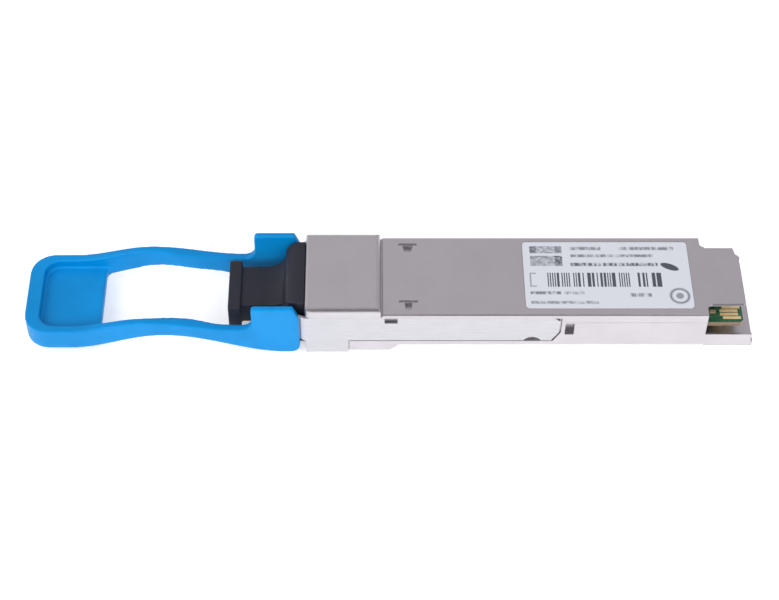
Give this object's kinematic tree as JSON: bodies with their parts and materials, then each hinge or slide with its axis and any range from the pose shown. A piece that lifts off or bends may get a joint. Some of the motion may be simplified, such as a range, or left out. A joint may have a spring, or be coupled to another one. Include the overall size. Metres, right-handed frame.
{
  "type": "optical transceiver module",
  "caption": "Pluggable duplex-fibre optical transceiver with a metal body, a sprung pull-tab release, a rubber port plug and an open card-edge end.",
  "frame": {"origin": "middle of the width, at the height of the underside, on the shoulder that stops against the cage", "axes": "+X from the fibre end to the electrical end, +Z out of the heat-sink face, +Y to the left of someone who looks from the tab along the body"},
  "size_m": [0.1305, 0.0184, 0.012],
  "materials": {
    "bottom_shell": "nickel-plated die casting, satin",
    "top_shell": "nickel-plated die casting, fine satin",
    "screws": "plain steel, machined",
    "gasket": "conductive elastomer, matt",
    "board": "solder mask over glass laminate",
    "contacts": "hard gold plate, bright",
    "chips": "moulded epoxy, matt",
    "inductors": "pressed ferrite, matt",
    "capacitors": "fired ceramic with tinned ends",
    "crystal_can": "plated metal can",
    "port_block": "moulded, fine spark texture",
    "clip": "stamped spring steel",
    "optics_can": "gold-plated can",
    "zirconia": "ground ceramic",
    "flex": "polyimide film over copper",
    "thermal_pad": "filled silicone, soft",
    "label": "coated label stock, semi-gloss",
    "slide_steel": "stamped stainless sheet, satin",
    "tab_plastic": "moulded, semi-gloss",
    "spring_steel": "drawn spring wire",
    "plug_rubber": "moulded, satin"
  },
  "bodies": {
    "body": {"bottom_shell": "bottom_shell", "top_shell": "top_shell", "shell_screws": "screws", "left_gasket": "gasket", "right_gasket": "gasket", "main_board": "board", "edge_contacts": "contacts", "driver_chip": "chips", "retimer_chip": "chips", "controller_chip": "chips", "memory_chip": "chips", "inductors": "inductors", "capacitors": "capacitors", "crystal": "crystal_can", "lc_receptacle": "port_block", "retaining_clip": "clip", "tx_optics": "optics_can", "rx_optics": "optics_can", "ferrule_sleeves": "zirconia", "fibre_stubs": "zirconia", "tx_flex": "flex", "rx_flex": "flex", "tx_thermal_pad": "thermal_pad", "rx_thermal_pad": "thermal_pad", "retimer_thermal_pad": "thermal_pad", "label": "label", "left_spring": "spring_steel", "right_spring": "spring_steel"},
    "release": {"pull_tab": "tab_plastic", "release_slide": "slide_steel"},
    "plug": {"dust_plug": "plug_rubber"}
  },
  "joints": [
    {"name": "release_pull", "type": "slide", "parent": "body", "child": "release", "axis": [-1, 0, 0], "range_m": [0, 0.0024], "stiffness_N_per_m": 800, "springref_m": -0.001, "deforming": ["left_spring", "right_spring"]},
    {"name": "plug_pull", "type": "slide", "parent": "body", "child": "plug", "axis": [-1, 0, 0], "range_m": [0, 0.012]}
  ]
}
